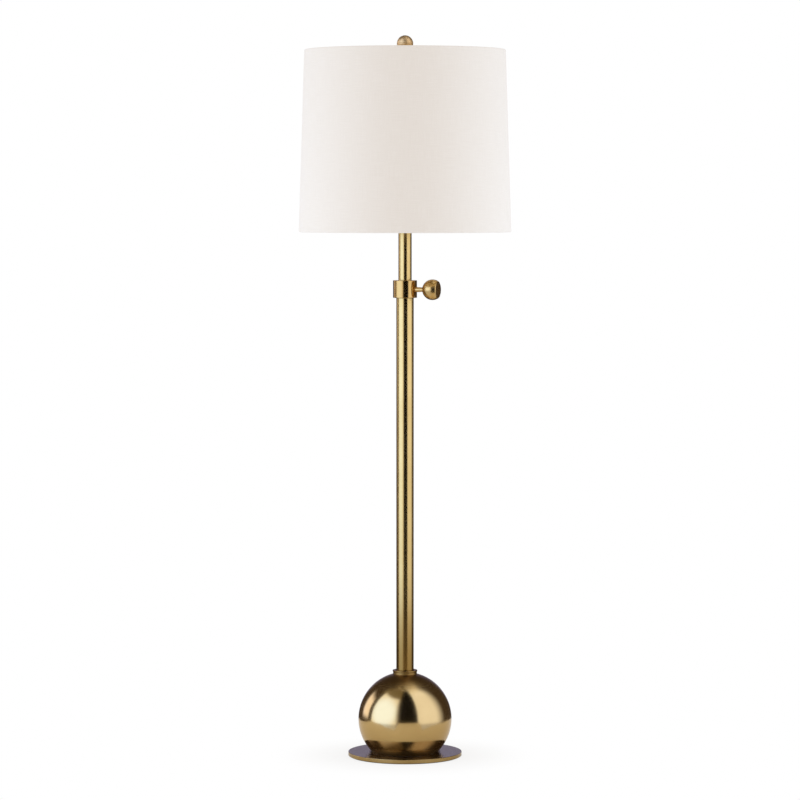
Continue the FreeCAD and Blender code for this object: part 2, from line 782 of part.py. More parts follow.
def harp():
    """Saddle strip, bow, its two sleeves and the stud on top."""
    base = size("saddle_foot")
    middle = base + size("saddle_thickness") / 2
    span = size("saddle_half_span")
    strip_path = bent_path(
        [
            Vector(-span, 0, base + size("saddle_ear")),
            Vector(-span, 0, middle),
            Vector(span, 0, middle),
            Vector(span, 0, base + size("saddle_ear")),
        ],
        [size("saddle_bend")] * 2,
    )
    strap = primitive("Plane", "saddle_section", Length="saddle_thickness", Width="saddle_width")
    strap.Placement.Base = Vector(
        -span - size("saddle_thickness") / 2,
        -size("saddle_width") / 2,
        base + size("saddle_ear"),
    )
    strip = swept("saddle_strip", strip_path, strap)
    prongs = []
    for side, name in ((-1, "saddle_prong_left"), (1, "saddle_prong_right")):
        prong = primitive(
            "Box",
            name,
            Length="saddle_thickness",
            Width="prong_width",
            Height="prong_height - saddle_ear",
        )
        prong.Placement.Base = Vector(
            side * span - size("saddle_thickness") / 2,
            -size("prong_width") / 2,
            base + size("saddle_ear"),
        )
        prongs.append(prong)
    hole = primitive("Cylinder", "saddle_hole", Radius="thread_bore / 2", Height="saddle_ear", z="saddle_foot")
    cut("harp_saddle", fused("saddle_blank", strip, *prongs), hole)

    wire = size("harp_wire")
    leg = span + size("saddle_thickness") / 2 + wire / 2 + size("seat_gap")
    start = base + size("saddle_ear") + size("seat_gap")
    top = size("harp_top") - size("stud_collar") - wire / 2 - size("seat_gap")
    right = [
        Vector(leg, 0, start),
        Vector(leg, 0, base + size("prong_height")),
        Vector(size("harp_bulge"), 0, start + size("harp_bulge_low")),
        Vector(size("harp_bulge"), 0, start + size("harp_bulge_high")),
        Vector(size("harp_top_half"), 0, top),
    ]
    left = [Vector(-point.x, 0, point.z) for point in reversed(right)]
    bends = [6 * wire, 16 * wire, 25 * wire, 3 * wire]
    section = primitive("Circle", "harp_section", Radius="harp_wire / 2")
    section.Placement.Base = right[0]
    swept("harp", bent_path(right + left, bends + bends[::-1]), section)

    sleeves = []
    for side, name in ((-1, "ferrule_left"), (1, "ferrule_right")):
        centre = side * (span + wire / 2 + size("seat_gap") / 2)
        outside = primitive(
            "Cylinder",
            name + "_outside",
            Radius="ferrule_bore / 2 + ferrule_wall",
            Height="ferrule_height",
        )
        bore = primitive("Cylinder", name + "_bore", Radius="ferrule_bore / 2", Height="ferrule_height")
        for item in (outside, bore):
            item.Placement.Base = Vector(centre, 0, base + size("saddle_ear") + size("seat_gap"))
        sleeves.append(cut(name, outside, bore))
    pair = doc.addObject("Part::Compound", "harp_ferrules")
    pair.Links = sleeves

    head = turned(
        "stud_blank",
        ("0", "harp_top - stud_collar - harp_wire - 2 * stud_collar"),
        ("stud_head - stud_collar", "harp_top - stud_collar - harp_wire - 2 * stud_collar"),
        ("stud_head", "harp_top - stud_collar - harp_wire - stud_collar"),
        ("stud_head", "harp_top"),
        ("stud_diameter", "harp_top"),
        ("stud_diameter", "harp_top + stud_length"),
        ("0", "harp_top + stud_length"),
    )
    eye = primitive("Cylinder", "stud_eye", Radius="harp_wire / 2 + thread_gap", Height="2 * stud_head")
    eye.Placement = Placement(Vector(-size("stud_head"), 0, top), Rotation(Vector(0, 1, 0), 90))
    cut("harp_stud", head, eye)


def shade():
    """Spider, rings, stiff liner and the fabric rolled over both rings."""
    top, bottom = "shade_top_diameter", "shade_bottom_diameter"
    hem, cloth = "hem_width", "fabric_thickness"
    fabric = turned(
        "fabric_blank",
        (bottom, "shade_bottom"),
        (top, "shade_top"),
        (f"{top} - 2 * {hem}", "shade_top"),
        (f"{top} - 2 * {hem}", "shade_top - hem_depth"),
        (f"{top} - 2 * {hem} + 2 * {cloth}", "shade_top - hem_depth"),
        (f"{top} - 2 * {hem} + 2 * {cloth}", f"shade_top - {cloth}"),
        (f"{top} - 2 * {cloth}", f"shade_top - {cloth}"),
        (f"{bottom} - 2 * {cloth}", f"shade_bottom + {cloth}"),
        (f"{bottom} - 2 * bottom_fold + 2 * {cloth}", f"shade_bottom + {cloth}"),
        (f"{bottom} - 2 * bottom_fold + 2 * {cloth}", "shade_bottom + hem_depth"),
        (f"{bottom} - 2 * bottom_fold", "shade_bottom + hem_depth"),
        (f"{bottom} - 2 * bottom_fold", "shade_bottom"),
    )
    wide = size("fabric_thickness")
    for end, level, up, fold in (
        (size(top), size("shade_top"), -1, size("hem_width")),
        (size(bottom), size("shade_bottom"), 1, size("bottom_fold")),
    ):
        inside = level + up * wide
        rounded(fabric, "hem_round - fabric_thickness", (end - 2 * wide, inside), (end - 2 * fold + 2 * wide, inside))
        rounded(fabric, "hem_round", (end, level), (end - 2 * fold, level))

    skin = f"(2 * {cloth} + 2 * seat_gap)"
    inset = "(hem_round + seat_gap)"
    turned(
        "shade_liner",
        (f"{bottom} - shade_slope * {inset} - {skin}", f"shade_bottom + {inset}"),
        (f"{top} + shade_slope * {inset} - {skin}", f"shade_top - {inset}"),
        (f"{top} + shade_slope * {inset} - {skin} - 2 * liner_thickness", f"shade_top - {inset}"),
        (f"{bottom} - shade_slope * {inset} - {skin} - 2 * liner_thickness", f"shade_bottom + {inset}"),
    )
    for label, radius, height in (
        ("shade_top_ring", "top_ring_radius", "top_ring_height"),
        ("shade_bottom_ring", "bottom_ring_radius", "bottom_ring_height"),
    ):
        primitive("Torus", label, Radius1=radius, Radius2="frame_wire / 2", z=height)
    turned(
        "spider_washer",
        ("stud_diameter + 2 * thread_gap", "harp_top"),
        ("spider_washer_diameter", "harp_top"),
        ("spider_washer_diameter", "spider_washer_top"),
        ("stud_diameter + 2 * thread_gap", "spider_washer_top"),
    )

    start = size("finial_foot") / 2 + size("mast_gap")
    low = size("spider_washer_top") + size("frame_wire") / 2
    high = size("top_ring_height")
    reach = size("top_ring_radius") - size("frame_wire") / 2 - size("seat_gap")
    arms, notches = [], []
    for number in range(ARM_COUNT):
        way = Rotation(Vector(0, 0, 1), 90 + number * 360 / ARM_COUNT).multVec(Vector(1, 0, 0))
        rise = Vector(0, 0, high)
        path = bent_path(
            [
                way * start + Vector(0, 0, low),
                way * size("spider_flat") + Vector(0, 0, low),
                way * 2 * size("spider_flat") + rise,
                way * reach + rise,
            ],
            [4 * size("frame_wire")] * 2,
        )
        section = primitive("Circle", f"arm_section_{number}", Radius="frame_wire / 2")
        aimed(section, way, low, start)
        arms.append(swept(f"spider_arm_{number}", path, section))
        notch = primitive(
            "Cylinder",
            f"arm_notch_{number}",
            Radius="frame_wire / 2 + mast_gap",
            Height="2 * hem_width",
        )
        notches.append(aimed(notch, way, high, reach - 2 * size("hem_width") + size("frame_wire") / 2))
    spider = doc.addObject("Part::Compound", "spider_arms")
    spider.Links = arms
    cut("shade_fabric", fabric, fused("arm_notches", *notches))

    stem = turned(
        "finial_stem",
        ("0", "spider_washer_top"),
        ("finial_foot", "spider_washer_top"),
        ("finial_foot", "spider_washer_top + finial_foot_height"),
        ("finial_neck", "spider_washer_top + 2 * finial_foot_height"),
        ("finial_neck", "finial_centre"),
        ("0", "finial_centre"),
    )
    ball = primitive("Sphere", "finial_sphere", Radius="finial_ball / 2", z="finial_centre")
    bore = primitive(
        "Cylinder",
        "finial_bore",
        Radius="stud_diameter / 2 + thread_gap",
        Height="stud_length + seat_gap",
        z="harp_top",
    )
    cut("finial", fused("finial_blank", stem, ball), bore)


def finish():
    """Checks every object of the document and writes each node's file."""
    doc.recompute()
    for item in doc.Objects:
        if "Invalid" in item.State or "Error" in item.State:
            raise RuntimeError(f"{item.Label} failed: {item.State}")
    os.makedirs("parts", exist_ok=True)
    for node in NODES:
        shape = doc.getObject(node).Shape
        if shape.isNull() or not shape.isValid() or shape.Volume <= 0:
            raise RuntimeError(f"{node} has no valid solid")
        print(f"{node:18s} {len(shape.Solids)} solid, {shape.Volume / 1000:9.2f} cm3")
        shape.exportStep(f"parts/{node}.step")


foot()
neck()
mast()
clamp()
lampholder()
harp()
shade()
finish()
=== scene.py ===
# %% [markdown]
# # A telescopic floor lamp
# This script dresses a finished construction of a floor lamp. The construction comes first and is never changed
# here: every piece that it holds is already in its real place and at its real size, in metres, with the floor at
# zero and the mast on the Z axis. What is added is what an eye sees: the aged brass, the woven cloth of the shade,
# the felt, the glass, and the fine forms that a machine drawing leaves out.

# %% Load the construction
import json
import math

import bmesh
import bpy
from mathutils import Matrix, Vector, noise


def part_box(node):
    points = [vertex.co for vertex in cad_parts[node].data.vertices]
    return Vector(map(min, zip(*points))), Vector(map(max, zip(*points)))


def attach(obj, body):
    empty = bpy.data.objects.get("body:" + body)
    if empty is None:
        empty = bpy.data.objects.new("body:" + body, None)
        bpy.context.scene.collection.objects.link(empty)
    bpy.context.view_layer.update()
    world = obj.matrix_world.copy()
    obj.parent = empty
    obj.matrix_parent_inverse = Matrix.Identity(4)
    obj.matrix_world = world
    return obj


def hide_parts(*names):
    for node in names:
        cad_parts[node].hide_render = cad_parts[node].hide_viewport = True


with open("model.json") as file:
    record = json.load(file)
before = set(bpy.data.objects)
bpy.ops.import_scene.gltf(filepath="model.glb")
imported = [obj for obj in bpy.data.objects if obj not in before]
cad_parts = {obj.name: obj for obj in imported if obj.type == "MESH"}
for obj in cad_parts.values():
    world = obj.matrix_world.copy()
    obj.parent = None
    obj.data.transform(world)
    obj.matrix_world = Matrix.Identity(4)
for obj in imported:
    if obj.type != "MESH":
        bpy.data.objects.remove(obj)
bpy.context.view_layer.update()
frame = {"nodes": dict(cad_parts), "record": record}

nodes = frame["nodes"]
MM = 0.001

# %% [markdown]
# ## The camera
# A product photographer stands far back with a long lens, so that the shade and the foot are seen almost square on.
# The distance shows in the ellipses: the plate on the floor is seen from above by 9 degrees and the shade's top rim
# from below by 2. Height and distance are a compromise between the two. The lens then follows from the lamp's size in
# the frame. Looking down by 3 degrees needs no lens shift, so the camera can go round the lamp for other views.

# %% Set up the camera
CAMERA_DISTANCE = 6.6
CAMERA_HEIGHT = 1.0686
CAMERA_SIDE = -0.0096
CAMERA_TILT_DOWN = 3.32
FOCAL_LENGTH_IN_FRAMES = 4.315
SENSOR_WIDTH = 36.0

camera_data = bpy.data.cameras.new("studio_camera")
camera_data.sensor_width = SENSOR_WIDTH
camera_data.lens = FOCAL_LENGTH_IN_FRAMES * SENSOR_WIDTH
camera = bpy.data.objects.new("studio_camera", camera_data)
camera.location = (CAMERA_SIDE, -CAMERA_DISTANCE, CAMERA_HEIGHT)
camera.rotation_euler = (math.radians(90 - CAMERA_TILT_DOWN), 0, 0)
bpy.context.scene.collection.objects.link(camera)
bpy.context.scene.camera = camera
bpy.context.scene.view_settings.view_transform = "Standard"
print(f"camera {CAMERA_DISTANCE} m away with a {camera_data.lens:.0f} mm lens")

# %% [markdown]
# ## Helpers for node trees
# Blender's shader nodes can be wired by hand or by script. A few small helpers keep the script as short as the hand
# work: put adds a node and fills its inputs, result_of, between and mixed do arithmetic, place_on, parts_of and
# noise_at give a place and the noise there, and effect_group and placed start a node group and place it in a tree.

# %% Define the node helpers
WHITE = (1, 1, 1, 1)
BLACK = (0, 0, 0, 1)


def put(tree, kind, inputs=None, **settings):
    """Adds a node. An input that is given as a socket is linked, and any other value is set."""
    node = tree.nodes.new(kind)
    for name, value in settings.items():
        setattr(node, name, value)
    for name, value in (inputs or {}).items():
        if isinstance(value, bpy.types.NodeSocket):
            tree.links.new(value, node.inputs[name])
        else:
            node.inputs[name].default_value = value
    return node


def result_of(tree, operation, *values):
    """The result of one arithmetic step."""
    return put(tree, "ShaderNodeMath", dict(enumerate(values)), operation=operation).outputs[0]


def between(tree, value, low, high, start=0.0, end=1.0):
    """Maps a value from the range low to high onto start to end, smoothly, and stops at both."""
    inputs = {"Value": value, "From Min": low, "From Max": high, "To Min": start, "To Max": end}
    return put(tree, "ShaderNodeMapRange", inputs, interpolation_type="SMOOTHSTEP").outputs["Result"]


def mixed(tree, factor, first, second):
    """A colour that goes from the first to the second."""
    node = put(tree, "ShaderNodeMix", {0: factor, 6: first, 7: second}, data_type="RGBA")
    return node.outputs[2]


def place_on(tree):
    """The place on the piece, in metres."""
    return put(tree, "ShaderNodeTexCoord").outputs["Object"]


def parts_of(tree, vector):
    """A vector's X, Y and Z."""
    return put(tree, "ShaderNodeSeparateXYZ", {0: vector}).outputs


def noise_at(tree, place, scale, detail):
    """Soft noise from 0 to 1. The scale is in lumps per metre, and detail adds finer ones."""
    return put(tree, "ShaderNodeTexNoise", {"Vector": place, "Scale": scale, "Detail": detail}).outputs["Fac"]


def effect_group(name, inputs, outputs):
    """An empty node group with named sockets: its tree, its input node and its output node."""
    kinds = {"value": "NodeSocketFloat", "colour": "NodeSocketColor"}
    tree = bpy.data.node_groups.new(name, "ShaderNodeTree")
    for label, kind, start in inputs:
        socket = tree.interface.new_socket(label, in_out="INPUT", socket_type=kinds[kind])
        socket.default_value = start
    for label, kind in outputs:
        tree.interface.new_socket(label, in_out="OUTPUT", socket_type=kinds[kind])
    return tree, put(tree, "NodeGroupInput"), put(tree, "NodeGroupOutput")


def placed(tree, group, **inputs):
    """Places a node group in a tree, with its own values: underscores in a name stand for spaces."""
    node = put(tree, "ShaderNodeGroup", node_tree=group)
    for label, value in inputs.items():
        socket = node.inputs[label.replace("_", " ")]
        if isinstance(value, bpy.types.NodeSocket):
            tree.links.new(value, socket)
        else:
            socket.default_value = value
    return node


print("node helpers ready")

# %% [markdown]
# ## The studio: floor
# The lamp stands on a pale sheet. To the eye it is pure white and runs into the white backdrop, but the polished ball
# above it shows it as what it is, a lit matt surface that ends where the diffusing sheets of the studio stand, and
# that runs out towards the camera between them. A shader can tell the two apart by the Light Path node: a ray from
# the camera gets the white, every other ray gets the matt sheet. Near the foot a share of the matt sheet stays in
# the white, so that the lamp keeps its soft shadow and doesn't float. From below, the sheet is clear, so that the
# felt under the plate can be looked at.

# %% Build the floor
SHADOW_REACH = (0.10, 0.26)
SHADOW_SHARE = 0.20
FLOOR_COLOUR = (0.80, 0.79, 0.77, 1)
FLOOR_ROUGHNESS = 0.9
FLOOR_UNDER_FELT = 0.2 * MM
FLOOR_OUTLINE = [
    (-0.39, -1.45), (0.86, -1.23), (0.153, -0.204), (0.341, -0.197), (0.54, 0.0), (0.55, 0.305),
    (0.30, 0.48), (-0.30, 0.48), (-0.47, 0.27), (-0.62, 0.14), (-1.14, 0.0), (-0.54, -0.31), (-0.096, -0.237),
]


def floor_sheet():
    """A sheet cut to the room between the studio's sheets, slightly below the felt's fibres."""
    mesh = bmesh.new()
    corners = [mesh.verts.new((x, y, -FLOOR_UNDER_FELT)) for x, y in FLOOR_OUTLINE]
    face = mesh.faces.new(corners)
    face.normal_update()
    if face.normal.z < 0:
        face.normal_flip()
    data = bpy.data.meshes.new("floor_sheet")
    mesh.to_mesh(data)
    mesh.free()
    sheet = bpy.data.objects.new("floor_sheet", data)
    bpy.context.scene.collection.objects.link(sheet)
    return sheet


def floor_material():
    """Matt to every ray but the camera's own, which see white with a share of the matt sheet near the foot."""
    material = bpy.data.materials.new("matt_sheet")
    material.use_nodes = True
    tree = material.node_tree
    tree.nodes.clear()
    reach = put(tree, "ShaderNodeVectorMath", {0: place_on(tree)}, operation="LENGTH").outputs["Value"]
    share = between(tree, reach, *SHADOW_REACH, SHADOW_SHARE, 0.0)
    matt = put(tree, "ShaderNodeBsdfPrincipled", {"Base Color": FLOOR_COLOUR, "Roughness": FLOOR_ROUGHNESS})
    white = put(tree, "ShaderNodeEmission", {"Color": WHITE, "Strength": 1.0})
    shown = put(tree, "ShaderNodeMixShader", {0: share, 1: white.outputs[0], 2: matt.outputs[0]})
    camera_ray = put(tree, "ShaderNodeLightPath").outputs["Is Camera Ray"]
    seen = put(tree, "ShaderNodeMixShader", {0: camera_ray, 1: matt.outputs[0], 2: shown.outputs[0]})
    below = put(tree, "ShaderNodeNewGeometry").outputs["Backfacing"]
    clear = put(tree, "ShaderNodeBsdfTransparent")
    sided = put(tree, "ShaderNodeMixShader", {0: below, 1: seen.outputs[0], 2: clear.outputs[0]})
    put(tree, "ShaderNodeOutputMaterial", {"Surface": sided.outputs[0]})
    return material


floor = floor_sheet()
floor.data.materials.append(floor_material())
print(f"floor sheet with {len(FLOOR_OUTLINE)} corners")

# %% [markdown]
# ## The studio: sheets all round
# Polished brass has hardly any colour of its own: it shows its surroundings in gold. The photograph's ball works as a
# round mirror, so it gives the studio away. Upright sheets of lit diffusing cloth stand to the left and to the right.
# Between them is a dark slit for the camera, the left side has a second sheet behind a post and a dim ceiling, and
# the right one runs on over the lamp. As every edge is either upright or level, each sheet is a rectangle in two
# angles: the azimuth round the lamp and the elevation above its level. A group turns four such limits into a mask.
# Two more shapes are round: the glow of a light behind the left sheet, and the backdrop, which the metal shows as a
# dim grey. Near the floor both sheets get less light. Only reflected rays see all this. The camera's rays and rays
# through glass see plain white, and the matt surfaces are lit by an even, slightly warm white.

# %% Define the studio's sheets
STUDIO = [
    # name, azimuth from and to, elevation from and to, each with its softness, and colour; later rows cover earlier
    ("camera_slit", (-17, 7), (44, 5), (-90, 1), (89, 4), (0.006, 0.005, 0.005)),
    ("left_ceiling", (-112, 16), (-12, 8), (44, 10), (89, 2), (0.27, 0.24, 0.18)),
    ("left_rear_sheet", (-136, 11), (-102, 5), (-6, 10), (36, 14), (1.60, 1.62, 2.10)),
    ("left_post", (-105, 5), (-91, 3), (-90, 1), (46, 12), (0.09, 0.075, 0.055)),
    ("left_sheet", (-94, 4), (-14, 14), (-90, 1), (59, 9), (1.38, 1.53, 2.00)),
    ("right_sheet", (30, 4), (118, 36), (-90, 1), (91, 1), (1.37, 1.51, 2.00)),
    ("right_ceiling", (28, 4), (172, 20), (62, 12), (91, 1), (1.30, 1.38, 1.62)),
]


def heading(azimuth, elevation):
    """The direction from the lamp, with azimuth 0 towards the camera and 90 to its right."""
    turn, rise = math.radians(azimuth), math.radians(elevation)
    return Vector((math.sin(turn) * math.cos(rise), -math.cos(turn) * math.cos(rise), math.sin(rise)))


print("sheets:", ", ".join(row[0] for row in STUDIO))

# %% Build the world
def studio_sheet_group():
    """How much of a sheet shows at an azimuth and elevation, in degrees. Softness lies inside each limit."""
    names = ["Azimuth", "Elevation", "From", "To", "From Softness", "To Softness"]
    names += ["Low", "High", "Low Softness", "High Softness"]
    tree, given, result = effect_group("studio_sheet", [(n, "value", 1.0) for n in names], [("Cover", "value")])

    def step(value, limit, softness, way):
        start = given.outputs[limit]
        end = result_of(tree, "MULTIPLY_ADD", given.outputs[softness], way, start)
        low, high = (start, end) if way > 0 else (end, start)
        cover = between(tree, given.outputs[value], low, high)
        return cover if way > 0 else result_of(tree, "SUBTRACT", 1.0, cover)

    sides = result_of(
        tree,
        "MULTIPLY",
        step("Azimuth", "From", "From Softness", 1.0),
        step("Azimuth", "To", "To Softness", -1.0),
    )
    ends = result_of(
        tree,
        "MULTIPLY",
        step("Elevation", "Low", "Low Softness", 1.0),
        step("Elevation", "High", "High Softness", -1.0),
    )
    tree.links.new(result_of(tree, "MULTIPLY", sides, ends), result.inputs["Cover"])
    return tree


EVEN_LIGHT = (0.865, 0.810, 0.760, 1)
ROOM = (0.080, 0.060, 0.045, 1)
# The round shapes: a heading, how near a ray comes to it (1 is straight at it) and a colour.
BACKDROP, BACKDROP_FADE, BACKDROP_IN_METAL = (180, 8), (0.925, 0.975), (0.30, 0.29, 0.42, 1)
LEFT_GLOW, LEFT_GLOW_FADE, LEFT_GLOW_COLOUR = (-58, 17), (0.76, 0.94), (1.60, 2.12, 3.7, 1)
# From the higher to the lower of these elevations, the sheets' light falls to this share of it.
LOW_BAND, LOW_LIGHT = (-9.0, -5.0), 0.55


def build_world():
    """White to the camera, the studio to reflections, an even light to matt surfaces."""
    world = bpy.data.worlds.new("studio")
    bpy.context.scene.world = world
    world.use_nodes = True
    # Matt surfaces see one even light, so no map of the world is needed to find its bright parts.
    world.cycles.sampling_method = "NONE"
    tree = world.node_tree
    tree.nodes.clear()
    direction = put(tree, "ShaderNodeTexCoord").outputs["Generated"]
    way = parts_of(tree, direction)
    front = result_of(tree, "MULTIPLY", way["Y"], -1.0)
    azimuth = result_of(tree, "DEGREES", result_of(tree, "ARCTAN2", way["X"], front))
    elevation = result_of(tree, "DEGREES", result_of(tree, "ARCSINE", way["Z"]))

    def facing(centre, low, high):
        node = put(tree, "ShaderNodeVectorMath", {0: direction, 1: centre}, operation="DOT_PRODUCT")
        return between(tree, node.outputs["Value"], low, high)

    group = studio_sheet_group()
    near_floor = between(tree, elevation, *LOW_BAND, LOW_LIGHT, 1.0)
    colour = ROOM
    for name, *limits, light in STUDIO:
        values = {}
        for label, (limit, softness) in zip(("From", "To", "Low", "High"), limits):
            values[label] = float(limit)
            values[f"{label}_Softness"] = float(softness)
        cover = placed(tree, group, Azimuth=azimuth, Elevation=elevation, **values).outputs["Cover"]
        tone = (*light, 1)
        if name == "left_sheet":
            tone = mixed(tree, facing(heading(*LEFT_GLOW), *LEFT_GLOW_FADE), tone, LEFT_GLOW_COLOUR)
        if name in ("left_sheet", "right_sheet"):
            tone = mixed(tree, near_floor, BLACK, tone)
        colour = mixed(tree, cover, colour, tone)
    colour = mixed(tree, facing(heading(*BACKDROP), *BACKDROP_FADE), colour, BACKDROP_IN_METAL)

    path = put(tree, "ShaderNodeLightPath")
    shown = mixed(tree, path.outputs["Is Glossy Ray"], EVEN_LIGHT, colour)
    clear = result_of(tree, "MAXIMUM", path.outputs["Is Camera Ray"], path.outputs["Is Transmission Ray"])
    shown = mixed(tree, clear, shown, WHITE)
    background = put(tree, "ShaderNodeBackground", {"Color": shown, "Strength": 1.0})
    put(tree, "ShaderNodeOutputWorld", {"Surface": background.outputs[0]})


build_world()
print("world: white backdrop, sheets in reflections, even light of", EVEN_LIGHT[:3])

# %% [markdown]
# ## The studio: lamps
# The sheets are lit from outside by two big soft lamps. They give the cloth shade its roundness: each side faces a
# lamp, and the middle, which faces the slit, is a little darker. They stand clear of the camera on both sides and
# are themselves hidden from view, and from reflections, where the sheets stand for them. Their light is slightly cool.

# %% Place two soft lamps
SHEET_LIGHT = (0.66, 0.82, 1.0)
LAMP_AZIMUTHS = {"left_lamp": -80, "right_lamp": 84}
LAMP_ELEVATION = -6
LAMP_DISTANCE = 1.8
LAMP_SIZE = (1.2, 1.3)
LAMP_WATTS = 11
MIDDLE_OF_MAST = Vector((0, 0, 0.8))


def soft_lamp(name, azimuth):
    """A rectangular lamp that looks at the middle of the mast."""
    data = bpy.data.lights.new(name, "AREA")
    data.shape = "RECTANGLE"
    data.size, data.size_y = LAMP_SIZE
    data.energy = LAMP_WATTS
    data.color = SHEET_LIGHT
    lamp = bpy.data.objects.new(name, data)
    away = heading(azimuth, LAMP_ELEVATION)
    lamp.location = MIDDLE_OF_MAST + away * LAMP_DISTANCE
    lamp.rotation_mode = "QUATERNION"
    lamp.rotation_quaternion = (-away).to_track_quat("-Z", "Y")
    lamp.visible_camera = False
    lamp.visible_glossy = False
    bpy.context.scene.collection.objects.link(lamp)


for name, azimuth in LAMP_AZIMUTHS.items():
    soft_lamp(name, azimuth)
print("two soft lamps, left and right")

# %% [markdown]
# ## Effects that several finishes share
# A finish is more than its colour. Four effects come back in many of them, so each is made once as a node group:
# clouding (a colour that drifts between two tones, with fine flecks), turning grain (the rings that a lathe or a
# polishing wheel leaves round the mast's axis), worn edges (paler, where hands and cloths rub) and grime with
# painted shade (darker in corners, where hands and cloths never reach and where occlusion would shade them: partly
# grime, partly painted shade). A group only gives out colours and values. The shader stays in each material.

# %% Build the clouding effect
CLOUD_RANGE = (0.30, 0.70)
FLECK_RANGE = (0.54, 0.72)


def clouding_group():
    """A colour that drifts between two tones over the surface, with fine flecks of the darker one."""
    tree, given, result = effect_group(
        "clouding",
        [
            ("Light Tone", "colour", WHITE),
            ("Dark Tone", "colour", BLACK),
            ("Cloud Scale", "value", 12.0),
            ("Fleck Scale", "value", 900.0),
            ("Flecks", "value", 0.3),
        ],
        [("Colour", "colour"), ("Clouds", "value"), ("Fleck Mask", "value")],
    )
    place = place_on(tree)
    clouds = between(tree, noise_at(tree, place, given.outputs["Cloud Scale"], 5.0), *CLOUD_RANGE)
    flecks = between(tree, noise_at(tree, place, given.outputs["Fleck Scale"], 2.0), *FLECK_RANGE)
    flecks = result_of(tree, "MULTIPLY", flecks, given.outputs["Flecks"])
    colour = mixed(tree, clouds, given.outputs["Light Tone"], given.outputs["Dark Tone"])
    colour = mixed(tree, flecks, colour, given.outputs["Dark Tone"])
    tree.links.new(colour, result.inputs["Colour"])
    tree.links.new(clouds, result.inputs["Clouds"])
    tree.links.new(flecks, result.inputs["Fleck Mask"])
    return tree


CLOUDING = clouding_group()
print("effect:", CLOUDING.name)

# %% Build the turning grain effect
def turning_grain_group():
    """Fine rings round the mast's axis, on upright and on flat faces, that fade in and out along each ring."""
    tree, given, result = effect_group(
        "turning_grain", [("Rings per Metre", "value", 1500.0), ("Break Up", "value", 2.0)], [("Grain", "value")]
    )
    place = parts_of(tree, place_on(tree))
    flat = put(tree, "ShaderNodeCombineXYZ", {"X": place["X"], "Y": place["Y"]})
    radius = put(tree, "ShaderNodeVectorMath", {0: flat.outputs[0]}, operation="LENGTH").outputs["Value"]
    round_it = put(tree, "ShaderNodeVectorMath", {0: flat.outputs[0]}, operation="NORMALIZE").outputs["Vector"]
    turned = put(tree, "ShaderNodeVectorMath", {0: round_it, "Scale": given.outputs["Break Up"]}, operation="SCALE")
    side = parts_of(tree, turned.outputs["Vector"])
    rings = given.outputs["Rings per Metre"]
    inputs = {"X": side["X"], "Y": side["Y"], "Z": result_of(tree, "MULTIPLY", place["Z"], rings)}
    vector = put(tree, "ShaderNodeCombineXYZ", inputs).outputs[0]
    grain = put(
        tree,
        "ShaderNodeTexNoise",
        {"Vector": vector, "W": result_of(tree, "MULTIPLY", radius, rings), "Scale": 1.0, "Detail": 3.0},
        noise_dimensions="4D",
    )
    tree.links.new(grain.outputs["Fac"], result.inputs["Grain"])
    return tree


TURNING_GRAIN = turning_grain_group()
print("effect:", TURNING_GRAIN.name)

# %% Build the worn edge and grime effects
EDGE_AGREEMENT = (0.995, 0.90)
CORNER_OPENNESS = (0.80, 0.35)


def worn_edge_group():
    """1 along outer edges and 0 on plain faces, found by rounding the normal and comparing it with the true one."""
    inputs = [("Width", "value", 0.001), ("Amount", "value", 1.0)]
    tree, given, result = effect_group("worn_edge", inputs, [("Mask", "value")])
    rounded = put(tree, "ShaderNodeBevel", {"Radius": given.outputs["Width"]}, samples=6).outputs["Normal"]
    true = put(tree, "ShaderNodeNewGeometry").outputs["Normal"]
    agree = put(tree, "ShaderNodeVectorMath", {0: rounded, 1: true}, operation="DOT_PRODUCT").outputs["Value"]
    edge = between(tree, agree, *EDGE_AGREEMENT)
    tree.links.new(result_of(tree, "MULTIPLY", edge, given.outputs["Amount"]), result.inputs["Mask"])
    return tree


def grime_and_shade_group():
    """1 deep in corners and seams and 0 in the open: a mask for grime and painted shade, found by ambient occlusion.
    """
    inputs = [("Reach", "value", 0.004), ("Amount", "value", 1.0)]
    tree, given, result = effect_group("grime_and_shade", inputs, [("Mask", "value")])
    openness = put(tree, "ShaderNodeAmbientOcclusion", {"Distance": given.outputs["Reach"]}, samples=8).outputs["AO"]
    corner = between(tree, openness, *CORNER_OPENNESS)
    tree.links.new(result_of(tree, "MULTIPLY", corner, given.outputs["Amount"]), result.inputs["Mask"])
    return tree


WORN_EDGE = worn_edge_group()
GRIME_AND_SHADE = grime_and_shade_group()
print("effects:", WORN_EDGE.name, GRIME_AND_SHADE.name)

# %% [markdown]
# ## Aged brass
# The foot, the mast, the clamp and the finial are brass with an aged finish: the metal is toned brown, rubbed back to
# gold and lacquered. The ball is rubbed to a soft mirror, the tubes are left satin, the finial is dull, and the face
# of the plate stays dark while its rim is rubbed bright. A metal's colour is its reflection, so Metallic is 1 and the
# Base Color is the gold. The grain goes into the roughness and, by less than a micron, into the bump: more of it would
# turn a mirror into sandpaper. The drawn tubes and the clamp have a long soft ripple there instead, which is
# shallower where it is finer, so that its steepness stays the same. Worn edges are paler than the gold. The corners
# are rougher from grime, and dark brown from grime and painted shade together.

# %% Make the brass finishes
GRAIN_DEPTH = 0.0005 * MM
RIPPLE_STEEPNESS = 0.004
WORN_PALER = 1.22
GRIME_AND_SHADE_DARKER = 0.30
GRIME_ROUGHER = 0.25
GRAIN_RANGE = (0.35, 0.65)
GRAIN_ROUGHNESS = (0.85, 1.2)


def finish_tree(name):
    """A new material with only a Principled BSDF and an output, and its tree."""
    material = bpy.data.materials.new(name)
    material.use_nodes = True
    tree = material.node_tree
    tree.nodes.clear()
    shader = put(tree, "ShaderNodeBsdfPrincipled")
    put(tree, "ShaderNodeOutputMaterial", {"Surface": shader.outputs[0]})
    return material, tree, shader


